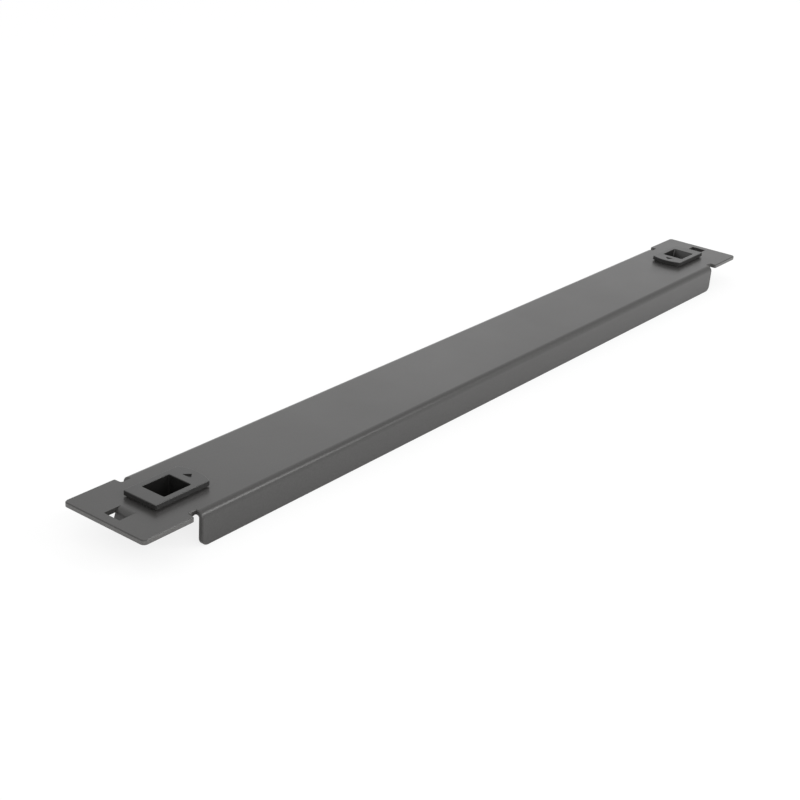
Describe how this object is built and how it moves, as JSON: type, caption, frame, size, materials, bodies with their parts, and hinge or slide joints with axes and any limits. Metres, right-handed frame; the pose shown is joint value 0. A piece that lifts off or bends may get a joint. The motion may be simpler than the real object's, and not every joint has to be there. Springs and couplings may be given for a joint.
{
  "type": "rack blanking panel",
  "caption": "Low sheet-steel cover for an unused rack space, with folded flanges, bent locating lugs in its ears and sliding plastic latches with finger pockets.",
  "frame": {"origin": "middle of the plane that the flanges' edges rest on", "axes": "+X along the panel to its right end, +Y to its upper long edge, +Z out of its front face"},
  "size_m": [0.483, 0.0436, 0.0178],
  "materials": {
    "panel": "very dark grey powder coat, fine even grain, satin sheen",
    "latch": "black moulded plastic, fine matt texture"
  },
  "bodies": {
    "panel": {"panel": "panel"},
    "left_latch": {"left_latch": "latch"},
    "right_latch": {"right_latch": "latch"}
  },
  "joints": [
    {"name": "left_latch_slide", "type": "slide", "parent": "panel", "child": "left_latch", "axis": [1, 0, 0], "range_m": [0, 0.004]},
    {"name": "right_latch_slide", "type": "slide", "parent": "panel", "child": "right_latch", "axis": [-1, 0, 0], "range_m": [0, 0.004]}
  ]
}
